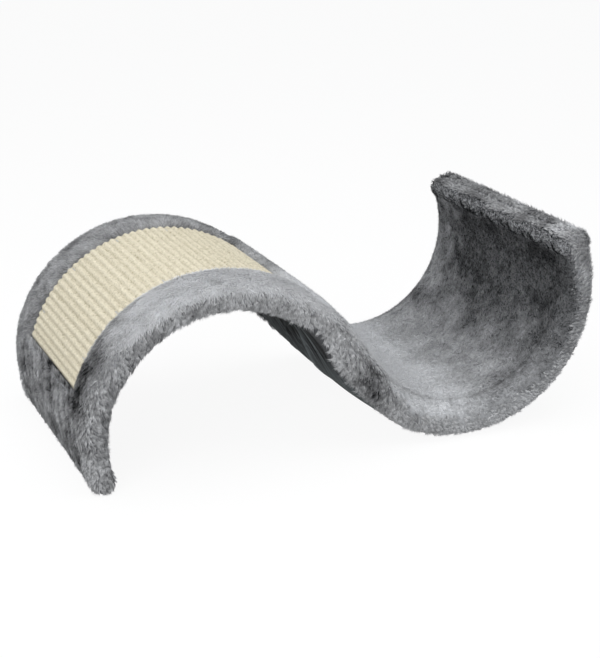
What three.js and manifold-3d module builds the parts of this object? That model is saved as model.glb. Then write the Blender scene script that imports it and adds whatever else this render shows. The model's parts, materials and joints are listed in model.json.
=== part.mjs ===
// Wave-shaped cat scratcher, in millimetres, +Z up.
// A bent plywood board stands on the foot of its arch and on the bottom of its cradle. Plush
// panels and soft edge bands wrap the board, and a ribbed sisal mat is stapled to the arch.
// The origin is on the floor under the middle of the object. +X runs from the arch to the cradle,
// and the near side is -Y.
import * as THREE from 'three';
import Module from 'manifold-3d';
import { mergeVertices } from 'three/addons/utils/BufferGeometryUtils.js';

// The wave, measured on the middle of the board
const overallWidth = 292;
const archRadius = 122.5;
const cradleRadius = 118.2;
const footTuckAngle = 12.4; // the foot end runs this far below the arch's level line, degrees
const slopeStartAngle = 35.1; // where the arch runs out into the slope, degrees up from +X
const tipRiseAngle = 18.5; // the cradle's tip above the cradle's level line, degrees
const footEndHeight = 14.8; // the middle of the board's foot end above the floor

// The layers
const boardThickness = 9;
const plushHeight = 10.2; // backing and pile on the borders, edges and cradle bottom
const legTuck = 1; // the leg panel lies this far below the bands beside it
const cradleTuck = 1.2; // and so does the short nap inside the cradle
const liningInset = 3.2; // the arch lining lies this far inside the bands beside it
const liningSag = 6; // it hangs loose where the slope runs into the cradle
const panelCrown = 0.8; // how far a panel swells between its seams
const seamGap = 0.3; // clearance between neighbouring pieces
const pressedDepth = 0.5; // how far the floor flattens the pile under the cradle

// The bands round the board's edges, with their heights from the middle of the board
const edgeBandWidth = 24;
const legEdge = 11.5; // thin beside the leg, on both sides
const matStartEdgeAbove = 13.4;
const crownEdgeAbove = 12.8;
const matEndEdgeAbove = 14.6;
const slopeEdgeAbove = 19;
const slopeEdgeBelow = 18.2;
const creaseEdgeBelow = 12.2; // pinched where the slope runs into the cradle
const rimEdgeAbove = 18.2;
const edgeRoundness = 2.8; // exponent of the soft edge, 2 is an ellipse
const footBandHeight = 22;
const footBulge = 0.8; // swelling on the inside of the foot
const footPress = 2.5; // how far the floor flattens the foot's round end
const rimBandDepth = 4;
const rimPuff = 1.2; // swelling of the roll along the cradle's tip
const rimWrap = 13.3; // how far the roll reaches past the board's tip
const footCorner = 10; // soft corners in plan
const rimCorner = 5;
const footSide = 18; // width over which an end band thins towards its sides
const rimSide = 8;
const footRounding = 14; // length over which an end band rounds off
const rimRounding = 4;

// The mat on the arch
const legLength = 62; // from the board's foot end up to the mat
const matWidth = 177;
const matBacking = 3.4;
const ribHeight = 2.6;
const ribPitch = 6.67; // along the middle of the board
const ribCount = 36;
const ribFullness = 0.62; // exponent of the rib's crown, 1 is a sine
const borderCrown = 1.4; // the borders stand this far above the edge bands
const borderLip = 9; // width of the border's rounded lip beside the mat

// The folds of the leg panel
const foldCount = 6;
const foldDepth = 1.1;

// The staples that hold the mat
const staplesPerSide = 5;
const stapleCrown = 10;
const stapleLeg = 9.5;
const stapleWire = 1.2; // width along the wave
const stapleThickness = 0.7;
const stapleInset = 5; // from the mat's edge

// Facets
const archSteps = 26;
const slopeSteps = 3;
const cradleSteps = 27;
const leastStep = 1.5;
const ribPoints = 6;

const radians = THREE.MathUtils.degToRad;
const lerp = THREE.MathUtils.lerp;
const smoothstep = THREE.MathUtils.smoothstep;
const halfWidth = overallWidth / 2;
const halfBoard = boardThickness / 2;
const halfGap = seamGap / 2;
const coverBase = halfBoard + seamGap;
const coverTop = coverBase + plushHeight;
const boardHalfWidth = halfWidth - plushHeight - seamGap;
const bandInner = halfWidth - edgeBandWidth;

// The wave's middle line: arch, slope and cradle, each running smoothly into the next
const archStart = radians(180 + footTuckAngle);
const slopeStart = radians(slopeStartAngle);
const cradleStart = Math.PI + slopeStart;
const archZ = footEndHeight - archRadius * Math.sin(archStart);
const cradleZ = cradleRadius + coverTop - pressedDepth;
const centresRise = (archRadius + cradleRadius) * Math.sin(slopeStart) + archZ - cradleZ;
const slopeLength = centresRise / Math.cos(slopeStart);
const centresRun = (archRadius + cradleRadius) * Math.cos(slopeStart) + slopeLength * Math.sin(slopeStart);
const archX = (archRadius + legEdge - cradleRadius - coverTop - centresRun) / 2;
const cradleX = archX + centresRun;
const slopeAt = archRadius * (archStart - slopeStart);
const cradleAt = slopeAt + slopeLength;
const waveLength = cradleAt + cradleRadius * (2 * Math.PI + radians(tipRiseAngle) - cradleStart);
const matStart = legLength;
const matEnd = legLength + ribCount * ribPitch;
const rimStart = waveLength - rimBandDepth;

// Middle point and up direction of the board at the length s from its foot end.
// Past either end the wave runs on straight.
function waveFrame(s) {
  const along = THREE.MathUtils.clamp(s, 0, waveLength);
  const up = new THREE.Vector3();
  const middle = new THREE.Vector3();
  if (along <= slopeAt) {
    const angle = archStart - along / archRadius;
    up.set(Math.cos(angle), 0, Math.sin(angle));
    middle.set(archX, 0, archZ).addScaledVector(up, archRadius);
  } else if (along <= cradleAt) {
    up.set(Math.cos(slopeStart), 0, Math.sin(slopeStart));
    middle.set(archX, 0, archZ).addScaledVector(up, archRadius);
    middle.x += (along - slopeAt) * up.z;
    middle.z -= (along - slopeAt) * up.x;
  } else {
    const angle = cradleStart + (along - cradleAt) / cradleRadius;
    up.set(-Math.cos(angle), 0, -Math.sin(angle));
    middle.set(cradleX, 0, cradleZ).addScaledVector(up, -cradleRadius);
  }
  middle.x += (s - along) * up.z;
  middle.z -= (s - along) * up.x;
  return { middle, up };
}

// A point at the length s, n above the board's middle, y across. The floor flattens what reaches it.
function onWave(s, n, y) {
  const { middle, up } = waveFrame(s);
  const point = middle.addScaledVector(up, n);
  return new THREE.Vector3(point.x, y, Math.max(point.z, 0));
}

// Smooth run through [s, height] places along the wave
function profile(places) {
  return (s) => {
    const next = places.findIndex(([at]) => at >= s);
    if (next <= 0) {
      return places.at(next)[1];
    }
    const [[start, low], [end, high]] = [places[next - 1], places[next]];
    return lerp(low, high, smoothstep(s, start, end));
  };
}

const archCrown = archRadius * (archStart - Math.PI / 2);
const cradleBottom = cradleAt + cradleRadius * (1.5 * Math.PI - cradleStart);
const slopeMiddle = (slopeAt + cradleAt) / 2;
const edgeAbove = profile([
  [footBandHeight, legEdge],
  [matStart, matStartEdgeAbove],
  [archCrown, crownEdgeAbove],
  [matEnd, matEndEdgeAbove],
  [slopeAt, slopeEdgeAbove],
  [rimStart, rimEdgeAbove],
]);
const edgeBelow = profile([
  [matStart, legEdge],
  [2 * matStart, coverTop],
  [slopeAt, coverTop],
  [slopeMiddle, slopeEdgeBelow],
  [lerp(cradleAt, cradleBottom, 0.25), creaseEdgeBelow],
  [lerp(cradleAt, cradleBottom, 0.6), coverTop],
]);

function evenSteps(start, end, count) {
  return Array.from({ length: count }, (_, i) => lerp(start, end, i / count));
}

// Shared stations along the wave, with the two ends of the length and the flat under the cradle
const cradleFlat = cradleRadius * Math.acos(1 - pressedDepth / (cradleRadius + coverTop));
const waveStations = [
  ...evenSteps(0, slopeAt, archSteps),
  ...evenSteps(slopeAt, cradleAt, slopeSteps),
  ...evenSteps(cradleAt, waveLength, cradleSteps),
];
const keyStations = [
  archRadius * radians(footTuckAngle),
  cradleBottom - cradleFlat,
  cradleBottom + cradleFlat,
  waveLength - cradleRadius * radians(tipRiseAngle),
];

function stations(start, end) {
  const clear = (s, others) => others.every((other) => Math.abs(s - other) > leastStep);
  const keys = keyStations.filter((s) => s > start && s < end && clear(s, [start, end]));
  const inside = waveStations.filter((s) => s > start && s < end && clear(s, [start, end, ...keys]));
  return [start, ...keys, ...inside, end].sort((a, b) => a - b);
}

// Triangles that close one end of a row of rings. outline is the end ring in its own plane.
function endFace(outline, first, turned) {
  const faces = THREE.ShapeUtils.triangulateShape(outline, []);
  const firstFace = faces[0].map((k) => outline[k]);
  const alongRing = THREE.ShapeUtils.area(firstFace) * THREE.ShapeUtils.area(outline) > 0;
  return faces.flatMap(([a, b, c]) => (alongRing === turned ? [a, c, b] : [a, b, c]).map((k) => first + k));
}

// Closed solid through a row of rings with equal counts of points. outlines holds the rings' points
// in their own planes, which the two end faces are cut from.
function loft(rings, outlines) {
  const count = rings[0].length;
  const lastRow = rings.length - 1;
  const points = rings.flat();
  const index = [];
  for (let row = 0; row < lastRow; row += 1) {
    for (let k = 0; k < count; k += 1) {
      const a = row * count + k;
      const b = row * count + ((k + 1) % count);
      index.push(a, b, b + count, a, b + count, a + count);
    }
  }
  index.push(...endFace(outlines[0], 0, true));
  index.push(...endFace(outlines[lastRow], lastRow * count, false));
  return facingOut(points, index);
}

// Geometry from points and triangles, turned so that its faces point out
function facingOut(points, index) {
  let volume = 0;
  for (let i = 0; i < index.length; i += 3) {
    const [a, b, c] = [points[index[i]], points[index[i + 1]], points[index[i + 2]]];
    volume += a.dot(b.clone().cross(c));
  }
  const geometry = new THREE.BufferGeometry().setFromPoints(points);
  geometry.setIndex(volume < 0 ? index.slice().reverse() : index);
  return geometry;
}

// Rings across the wave, one at each station: outline gives [y, n] points
function alongWave(start, end, outline) {
  const places = stations(start, end);
  const outlines = places.map((s) => outline(s).map(([y, n]) => new THREE.Vector2(y, n)));
  const rings = outlines.map((ring, row) => ring.map((point) => onWave(places[row], point.y, point.x)));
  return loft(rings, outlines);
}

// Rings across the width, one at each y: outline gives [s, n] points
function acrossWidth(places, outline) {
  const rings = places.map((y) => outline(y).map(([s, n]) => onWave(s, n, y)));
  return loft(rings, rings.map((ring) => ring.map((point) => new THREE.Vector2(point.x, point.z))));
}

// Boolean cuts
const wasm = await Module();
wasm.setup();

function toSolid(geometry) {
  const bare = new THREE.BufferGeometry();
  bare.setAttribute('position', geometry.getAttribute('position').clone());
  bare.setIndex(geometry.getIndex());
  const merged = mergeVertices(bare);
  const vertProperties = new Float32Array(merged.getAttribute('position').array);
  const triVerts = new Uint32Array(merged.getIndex().array);
  return new wasm.Manifold(new wasm.Mesh({ numProp: 3, vertProperties, triVerts }));
}

function cut(geometry, cutters) {
  let solid = toSolid(geometry);
  for (const cutter of cutters) {
    solid = solid.subtract(toSolid(cutter));
  }
  const mesh = solid.getMesh();
  const result = new THREE.BufferGeometry();
  result.setAttribute('position', new THREE.BufferAttribute(mesh.vertProperties, mesh.numProp));
  result.setIndex(new THREE.BufferAttribute(mesh.triVerts, 1));
  return result;
}

// Board: a bent sheet, and the room that the bands leave for it
function boardSheet(grow) {
  const side = boardHalfWidth + grow;
  const face = halfBoard + grow;
  const outline = () => [[-side, -face], [side, -face], [side, face], [-side, face]];
  return alongWave(-grow, waveLength + grow, outline);
}

// Panels: a crowned top over a flat base, between two lines across the width
function panel(start, end, inner, outer, heightAt, side, points) {
  const outline = (s) => {
    const ring = [[outer, side * coverBase], [inner, side * coverBase]];
    for (let k = 0; k <= points; k += 1) {
      const y = lerp(inner, outer, k / points);
      ring.push([y, side * (coverBase + heightAt(s, y))]);
    }
    return ring;
  };
  return alongWave(start + halfGap, end - halfGap, outline);
}

const panelEdge = bandInner - seamGap;
const swell = (y, edge) => panelCrown * (1 - (y / edge) ** 2);

// Below the mat the leg panel hangs in soft upright folds
function legHeight(s, y) {
  const fold = Math.cos((Math.PI * foldCount * (y + panelEdge)) / panelEdge);
  return edgeAbove(s) - coverBase - legTuck + swell(y, panelEdge) + foldDepth * fold;
}

// The panel past the mat starts full, as on the slope, and thins to the short nap of the cradle
function cradleHeight(s, y) {
  const nap = lerp(slopeEdgeAbove, edgeAbove(s) - cradleTuck, smoothstep(s, slopeAt, cradleAt));
  return nap - coverBase + swell(y, panelEdge);
}

// A border swells beside the mat and rolls down to it over its lip
const borderInner = matWidth / 2 + seamGap;
function borderHeight(s, y) {
  const across = (Math.abs(y) - borderInner) / (panelEdge - borderInner);
  const fromMat = Math.min(1, (Math.abs(y) - borderInner) / borderLip);
  const roll = Math.sqrt(1 - (1 - fromMat) ** 2);
  const crowned = edgeAbove(s) - coverBase + borderCrown * Math.sin(Math.PI * across);
  return lerp(matBacking + ribHeight, crowned, roll);
}

// Edge bands: a soft C round the board's long edge
const softEdge = (share) => (1 - share ** edgeRoundness) ** (1 / edgeRoundness);
function edgeBand(side) {
  const bandPoints = 12;
  const slot = boardHalfWidth + seamGap;
  const inside = [[bandInner, -coverBase], [slot, -coverBase], [slot, coverBase], [bandInner, coverBase]];
  const outline = (s) => {
    const ring = [...inside];
    for (let k = 0; k <= bandPoints; k += 1) {
      const angle = Math.PI * (0.5 - k / bandPoints);
      const reach = Math.abs(Math.cos(angle)) ** (2 / edgeRoundness);
      const height = Math.abs(Math.sin(angle)) ** (2 / edgeRoundness);
      const level = angle > 0 ? edgeAbove(s) * height : -edgeBelow(s) * height;
      ring.push([bandInner + edgeBandWidth * reach, level]);
    }
    return ring.map(([y, n]) => [side * y, n]);
  };
  return alongWave(footBandHeight + halfGap, rimStart - halfGap, outline);
}

// End bands: a pad over the board's end with soft corners, hollowed for the board.
// start is the band's seam, out is +1 past the tip and -1 past the foot. The swelling on each side
// is fullest at the share bulgeAt of the band's length.
function endBand({ start, boardEnd, out, wrap, corner, side, rounding, topSwell, underSwell, bulgeAt }) {
  const lengthPoints = 9;
  const widthPoints = 6;
  const bluntShare = 0.97; // the rounding stops here, in a small blunt face
  const quarter = (k, count) => bluntShare * Math.sin((0.5 * Math.PI * k) / count);
  const sideStart = halfWidth - side;
  const places = [];
  for (let k = -widthPoints; k <= widthPoints; k += 1) {
    places.push(Math.sign(k) * sideStart + side * quarter(k, widthPoints));
  }
  const outline = (y) => {
    const fall = softEdge(Math.max(0, Math.abs(y) - sideStart) / side);
    const inCorner = Math.max(0, Math.abs(y) - (halfWidth - corner));
    const cornerCut = corner - Math.sqrt(corner ** 2 - inCorner ** 2);
    const end = boardEnd + out * (wrap - cornerCut);
    const length = Math.abs(end - start);
    const above = [];
    const below = [];
    for (let k = 0; k <= lengthPoints; k += 1) {
      const along = length * quarter(k, lengthPoints);
      const rounded = softEdge(Math.max(0, along - (length - rounding)) / rounding);
      const bulge = Math.sin(Math.PI * (along / length) ** (Math.log(0.5) / Math.log(bulgeAt)));
      const s = start + out * along;
      above.push([s, rounded * fall * (edgeAbove(start) + topSwell * bulge)]);
      below.push([s, -rounded * fall * (edgeBelow(start) + underSwell * bulge)]);
    }
    return [...above, ...below.reverse()];
  };
  return cut(acrossWidth(places, outline), [boardSheet(seamGap)]);
}

// Mat: ribs across the width on a thin backing, one rounded crown for each rib
function matProfile() {
  const base = [];
  const crowns = [];
  for (let k = 0; k <= ribCount * ribPoints; k += 1) {
    const place = matStart + (k * ribPitch) / ribPoints;
    const s = THREE.MathUtils.clamp(place, matStart + halfGap, matEnd - halfGap);
    const crown = Math.abs(Math.sin((Math.PI * k) / ribPoints)) ** ribFullness;
    crowns.push([s, coverBase + matBacking + ribHeight * crown]);
    if (k % ribPoints === 0) {
      base.push([s, coverBase]);
    }
  }
  return [...crowns, ...base.reverse()];
}

// Staples: a U of flat wire in the groove between two ribs, its crown along the groove.
// The staple's own frame has X along the wave, Y across the width and Z up from the board.
const crownBottom = coverBase + matBacking + seamGap;
function stapleShape(grow, crownTop) {
  const outer = stapleCrown / 2 + grow;
  const inner = stapleCrown / 2 - stapleThickness - grow;
  const under = crownBottom - grow;
  const tip = crownBottom + stapleThickness - stapleLeg - grow;
  const shape = new THREE.Shape();
  shape.moveTo(-outer, crownTop);
  shape.lineTo(-outer, tip);
  shape.lineTo(-inner, tip);
  shape.lineTo(-inner, under);
  shape.lineTo(inner, under);
  shape.lineTo(inner, tip);
  shape.lineTo(outer, tip);
  shape.lineTo(outer, crownTop);
  const width = stapleWire + 2 * grow;
  const wire = new THREE.ExtrudeGeometry(shape, { depth: width, bevelEnabled: false });
  wire.translate(0, 0, -width / 2);
  const swap = new THREE.Matrix4().makeBasis(
    new THREE.Vector3(0, 1, 0),
    new THREE.Vector3(0, 0, 1),
    new THREE.Vector3(1, 0, 0),
  );
  return wire.applyMatrix4(swap);
}

const staplePlaces = [];
for (const [sideName, side] of [['near', -1], ['far', 1]]) {
  for (let k = 0; k < staplesPerSide; k += 1) {
    const groove = Math.round(((k + 0.5) * ribCount) / staplesPerSide);
    const { middle, up } = waveFrame(matStart + groove * ribPitch);
    const y = side * (matWidth / 2 - stapleInset - stapleCrown / 2);
    const position = new THREE.Vector3(middle.x, y, middle.z);
    const rotation = new THREE.Euler(0, Math.atan2(up.x, up.z), 0);
    staplePlaces.push({ name: `sisal_staple_${sideName}_${k + 1}`, position, rotation });
  }
}

const aboveRibs = coverBase + matBacking + 2 * ribHeight;
const stapleHoles = staplePlaces.map(({ position, rotation }) => {
  const turn = new THREE.Quaternion().setFromEuler(rotation);
  const place = new THREE.Matrix4().compose(position, turn, new THREE.Vector3(1, 1, 1));
  return stapleShape(seamGap, aboveRibs).applyMatrix4(place);
});

// Materials
const plush = new THREE.MeshStandardMaterial({ color: 0x9a9b9e, roughness: 0.95, metalness: 0 });
const shortPlush = new THREE.MeshStandardMaterial({ color: 0x8f9093, roughness: 0.95, metalness: 0 });
const lining = new THREE.MeshStandardMaterial({ color: 0x5e6164, roughness: 0.95, metalness: 0 });
const sisal = new THREE.MeshStandardMaterial({ color: 0xd6d0bb, roughness: 0.9, metalness: 0 });
const plywood = new THREE.MeshStandardMaterial({ color: 0xc9a878, roughness: 0.7, metalness: 0 });
const steel = new THREE.MeshStandardMaterial({ color: 0xb4b6b8, roughness: 0.35, metalness: 1 });

const scratcher = new THREE.Group();
function add(name, geometry, material) {
  geometry.computeVertexNormals();
  const mesh = new THREE.Mesh(geometry, material);
  mesh.name = name;
  scratcher.add(mesh);
  return mesh;
}

// Core and mat
add('wave_board', cut(boardSheet(0), stapleHoles), plywood);
add('sisal_mat', cut(acrossWidth([-matWidth / 2, matWidth / 2], matProfile), stapleHoles), sisal);
for (const { name, position, rotation } of staplePlaces) {
  const staple = add(name, stapleShape(0, crownBottom + stapleThickness), steel);
  staple.position.copy(position);
  staple.rotation.copy(rotation);
}

// Plush on the upper side
const foldPoints = 4 * foldCount;
const borderPoints = 8;
const crownPoints = 8;
add('leg_panel', panel(footBandHeight, matStart, -panelEdge, panelEdge, legHeight, 1, foldPoints), plush);
for (const [name, side] of [['arch_border_near', -1], ['arch_border_far', 1]]) {
  const border = panel(matStart, matEnd, side * borderInner, side * panelEdge, borderHeight, 1, borderPoints);
  add(name, border, plush);
}
add('cradle_panel', panel(matEnd, rimStart, -panelEdge, panelEdge, cradleHeight, 1, crownPoints), shortPlush);

// Plush round the edges
add('near_edge_band', edgeBand(-1), plush);
add('far_edge_band', edgeBand(1), plush);
const foot = {
  start: footBandHeight,
  boardEnd: 0,
  out: -1,
  wrap: footEndHeight + footPress,
  corner: footCorner,
  side: footSide,
  rounding: footRounding,
  topSwell: 0,
  underSwell: footBulge,
  bulgeAt: 0.8,
};
const rim = {
  start: rimStart,
  boardEnd: waveLength,
  out: 1,
  wrap: rimWrap,
  corner: rimCorner,
  side: rimSide,
  rounding: rimRounding,
  topSwell: rimPuff,
  underSwell: 0,
  bulgeAt: 0.5,
};
add('foot_band', endBand(foot), plush);
add('rim_band', endBand(rim), plush);

// Linings on the underside, which meet halfway down the slope
const sagAt = lerp(cradleAt, cradleBottom, 0.25);
const liningBase = (s) => Math.min(edgeBelow(s), coverTop) - coverBase - liningInset;
const standing = (s) => smoothstep(s, slopeMiddle, cradleBottom - cradleFlat);
const sagging = (s) => smoothstep(s, slopeAt, sagAt) * (1 - smoothstep(s, sagAt, cradleBottom - cradleFlat));
const loose = (s, y) => liningSag * sagging(s) * (1 - (y / panelEdge) ** 4);
const archLining = (s, y) => liningBase(s) + swell(y, panelEdge) + loose(s, y);
const cradleLining = (s, y) => lerp(archLining(s, y), plushHeight, standing(s));
const underArch = panel(footBandHeight, slopeMiddle, -panelEdge, panelEdge, archLining, -1, crownPoints);
const underCradle = panel(slopeMiddle, rimStart, -panelEdge, panelEdge, cradleLining, -1, crownPoints);
add('arch_lining', underArch, lining);
add('cradle_lining', underCradle, lining);

export default scratcher;
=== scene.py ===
# Wave-shaped cat scratcher: grey plush on a bent board, with a ribbed sisal mat on its arch.
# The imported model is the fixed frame, in metres. +X runs from the arch to the cradle, near is -Y.
import json
import math

import bmesh
import bpy
import numpy as np
from mathutils import Matrix, Vector

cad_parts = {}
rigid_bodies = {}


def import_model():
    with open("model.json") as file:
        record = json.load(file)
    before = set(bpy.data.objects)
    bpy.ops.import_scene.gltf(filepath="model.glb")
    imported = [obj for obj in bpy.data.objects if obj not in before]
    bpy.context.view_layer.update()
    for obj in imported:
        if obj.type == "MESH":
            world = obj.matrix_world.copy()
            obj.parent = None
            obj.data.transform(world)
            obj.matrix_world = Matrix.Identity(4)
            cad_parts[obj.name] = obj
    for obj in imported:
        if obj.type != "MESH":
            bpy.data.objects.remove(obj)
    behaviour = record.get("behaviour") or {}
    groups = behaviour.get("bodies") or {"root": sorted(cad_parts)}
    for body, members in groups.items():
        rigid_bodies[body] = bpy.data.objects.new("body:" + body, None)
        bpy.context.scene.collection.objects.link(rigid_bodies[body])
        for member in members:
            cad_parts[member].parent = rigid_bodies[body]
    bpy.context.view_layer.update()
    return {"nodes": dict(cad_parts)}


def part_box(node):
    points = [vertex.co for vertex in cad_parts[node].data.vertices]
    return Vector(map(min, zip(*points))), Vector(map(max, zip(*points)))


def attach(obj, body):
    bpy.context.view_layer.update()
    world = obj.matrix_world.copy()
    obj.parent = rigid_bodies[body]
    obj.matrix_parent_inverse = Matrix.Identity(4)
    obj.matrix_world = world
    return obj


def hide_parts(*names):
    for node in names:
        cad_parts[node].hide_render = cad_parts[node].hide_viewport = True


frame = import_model()

# Bent board
# The core is a sheet of plywood pressed into a lying S: an arch, a short slope and a cradle.
# Everything else is glued, sewn or stapled to it. It stays as its CAD node, with a birch veneer.
arch_radius = 0.1225
cradle_radius = 0.1182
foot_tuck = math.radians(12.4)  # the foot end runs this far below the arch's level line
slope_tilt = math.radians(35.1)  # where the arch runs out into the slope, up from +X
tip_rise = math.radians(18.5)  # the tip above the cradle's level line
foot_end_height = 0.0148
half_board = 0.0045
seam_gap = 0.0003
plush_height = 0.0102
floor_press = 0.0005
half_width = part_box("far_edge_band")[1][1]
cover_base = half_board + seam_gap
cover_top = cover_base + plush_height

arch_start = math.pi + foot_tuck
arch_z = foot_end_height - arch_radius * math.sin(arch_start)
cradle_z = cradle_radius + cover_top - floor_press
radii = arch_radius + cradle_radius
slope_length = (radii * math.sin(slope_tilt) + arch_z - cradle_z) / math.cos(slope_tilt)
arch_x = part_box("wave_board")[0][0] + arch_radius + half_board
cradle_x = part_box("wave_board")[1][0] - cradle_radius - half_board
slope_at = arch_radius * (arch_start - slope_tilt)
cradle_at = slope_at + slope_length
wave_length = cradle_at + cradle_radius * (math.pi + tip_rise - slope_tilt)


def on_wave(s, n, y):
    """Points at the length s from the foot end, n above the board's middle and y across."""
    s, n, y = np.broadcast_arrays(*(np.asarray(value, float) for value in (s, n, y)))
    along = np.clip(s, 0, wave_length)
    angle = np.maximum(arch_start - along / arch_radius, slope_tilt)
    angle = angle + np.maximum(along - cradle_at, 0) / cradle_radius
    up_x = np.cos(angle)
    up_z = np.sin(angle)
    in_cradle = along > cradle_at
    past = np.where(in_cradle, 0, np.maximum(along - slope_at, 0)) + s - along
    x = np.where(in_cradle, cradle_x - cradle_radius * up_x, arch_x + arch_radius * up_x)
    z = np.where(in_cradle, cradle_z - cradle_radius * up_z, arch_z + arch_radius * up_z)
    x = x + past * up_z + n * up_x
    z = z - past * up_x + n * up_z
    return np.stack([x, y, np.maximum(z, 0)], axis=-1)


def srgb(red, green, blue):
    """A colour read off the photograph, 0 to 255, as linear values."""
    levels = [level / 255 for level in (red, green, blue)]
    return [v / 12.92 if v < 0.04045 else ((v + 0.055) / 1.055) ** 2.4 for v in levels] + [1]


class Field:
    """One output of a node, in a shader or a Geometry Nodes tree. Arithmetic on it adds Math nodes."""

    def __init__(self, tree, socket=None):
        self.tree = tree
        self.socket = socket

    def node(self, kind, settings=None, inputs=None, output=0):
        """Adds a node: first its settings, then the values or links of its sockets."""
        made = self.tree.nodes.new(kind)
        for name, value in (settings or {}).items():
            setattr(made, name, value)
        for key, value in (inputs or {}).items():
            if isinstance(value, Field):
                self.tree.links.new(value.socket, made.inputs[key])
            else:
                made.inputs[key].default_value = value
        return Field(self.tree, made.outputs[output])

    def math(self, operation, first, second=0.0, clamp=False):
        settings = {"operation": operation, "use_clamp": clamp}
        return self.node("ShaderNodeMath", settings, {0: first, 1: second})

    def __add__(self, other):
        return self.math("ADD", self, other)

    def __sub__(self, other):
        return self.math("SUBTRACT", self, other)

    def __rsub__(self, other):
        return self.math("SUBTRACT", other, self)

    def __mul__(self, other):
        return self.math("MULTIPLY", self, other)

    __radd__ = __add__
    __rmul__ = __mul__

    def clamped(self):
        return self.math("ADD", self, 0.0, True)

    def part(self, axis):
        """The x, y or z of a vector."""
        return self.node("ShaderNodeSeparateXYZ", None, {0: self}, "xyz".index(axis))

    def kept(self, name):
        """The number that a mesh's points keep under a name, read by a material."""
        return self.node("ShaderNodeAttribute", {"attribute_name": name}, None, "Fac")

    def mix(self, first, second):
        """Between two colours by this value."""
        inputs = {0: self, 6: first, 7: second}
        return self.node("ShaderNodeMix", {"data_type": "RGBA"}, inputs, 2)

    def grain(self, scale, detail=2.0, stretch=(1, 1, 1)):
        """Noise from 0 to 1 on this vector, drawn out along the axes where stretch is small."""
        placed = self.node("ShaderNodeMapping", None, {"Vector": self, "Scale": stretch})
        inputs = {"Vector": placed, "Scale": scale, "Detail": detail}
        return self.node("ShaderNodeTexNoise", None, inputs)


def finish_of(name, colour_of, roughness, bump_of=None, bump_height=0.0, **constants):
    """A material. colour_of and bump_of turn Object coordinates into a colour and a height."""
    material = bpy.data.materials.new(name)
    material.use_nodes = True
    tree = material.node_tree
    shader = tree.nodes["Principled BSDF"]
    place = Field(tree).node("ShaderNodeTexCoord", None, None, "Object")
    tree.links.new(colour_of(place).socket, shader.inputs["Base Color"])
    if callable(roughness):
        tree.links.new(roughness(place).socket, shader.inputs["Roughness"])
    else:
        shader.inputs["Roughness"].default_value = roughness
    if bump_of:
        inputs = {"Height": bump_of(place), "Distance": bump_height, "Strength": 1.0}
        tree.links.new(place.node("ShaderNodeBump", None, inputs).socket, shader.inputs["Normal"])
    for socket, value in constants.items():
        shader.inputs[socket.replace("_", " ")].default_value = value
    return material


veneer_dark = srgb(176, 138, 92)
veneer_pale = srgb(222, 192, 146)
plywood = finish_of(
    "birch plywood",
    lambda place: place.grain(260, 4, (0.25, 1, 0.25)).mix(veneer_dark, veneer_pale),
    lambda place: place.grain(120) * 0.25 + 0.5,
    bump_of=lambda place: place.grain(600, 3, (0.2, 1, 0.2)),
    bump_height=0.0002,
)


def refinish(node, material):
    """Gives a CAD node its real finish."""
    node.data.materials.clear()
    node.data.materials.append(material)


refinish(frame["nodes"]["wave_board"], plywood)

# Sisal mat
# A woven mat of undyed sisal, stapled to the arch. Its thick ribs run across the width, each a row
# of short looped stitches, rounded off at both ends. Geometry Nodes lay one rib beside the other.
mat_start = 0.062
mat_half = 0.0885
rib_count = 36
rib_kinds = 4
rib_pitch = 0.00667
groove_height = 0.0089
rib_height = 0.0017
rib_crown = 1.2  # above 1 a rib is narrower on top
rib_end = 0.0035  # the rounding of a rib's ends, and how far they dip
rib_end_dip = 0.0012
rib_wander = 0.00016  # unevenness along a rib, and from point to point
rib_roughness = 0.00012
stitch_length = 0.0034
stitch_depth = 0.0005
stitch_slant = 1.3
rib_points = 8
wander_points = 24
rows_across = 216
weld = 0.00003
straw_dark = srgb(162, 153, 128)
straw_pale = srgb(230, 223, 203)
mat_end = mat_start + rib_count * rib_pitch
rib_angle = rib_pitch / arch_radius


def in_scene(name, data):
    """An object of the scene, at the origin."""
    made = bpy.data.objects.new(name, data)
    bpy.context.scene.collection.objects.link(made)
    return made


def mesh_of(name, points, faces):
    mesh = bpy.data.meshes.new(name)
    mesh.from_pydata(np.reshape(points, (-1, 3)).tolist(), [], faces)
    mesh.polygons.foreach_set("use_smooth", [True] * len(mesh.polygons))
    return in_scene(name, mesh)


def grid_faces(rows, columns, closed=False):
    """Faces of a grid of points, row by row. A closed grid joins its last column to its first."""
    faces = []
    for row in range(rows - 1):
        for column in range(columns if closed else columns - 1):
            first = row * columns + column
            second = row * columns + (column + 1) % columns
            faces.append((first, second, second + columns, first + columns))
    return faces


def keep_values(made, name, values):
    """Keeps a number for each point of a mesh, under a name."""
    values = np.ascontiguousarray(values, np.float32).ravel()
    made.data.attributes.new(name, "FLOAT", "POINT").data.foreach_set("value", values)


def quarter_round(distance, radius):
    """Rises from 0 at an edge to 1 at the radius from it, as a rounded edge does."""
    share = np.clip(distance / radius, 0, 1)
    return np.sqrt(1 - (1 - share) ** 2)


def rib_place(turn, n, y):
    """Points in a rib's frame: turn runs from -1 to 1 over the rib's share of the arch."""
    turn, n, y = np.broadcast_arrays(turn, n, y)
    reach = arch_radius + n
    angle = turn * rib_angle / 2
    return np.stack([reach * np.sin(angle), y, reach * np.cos(angle) - arch_radius], axis=-1)


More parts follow.
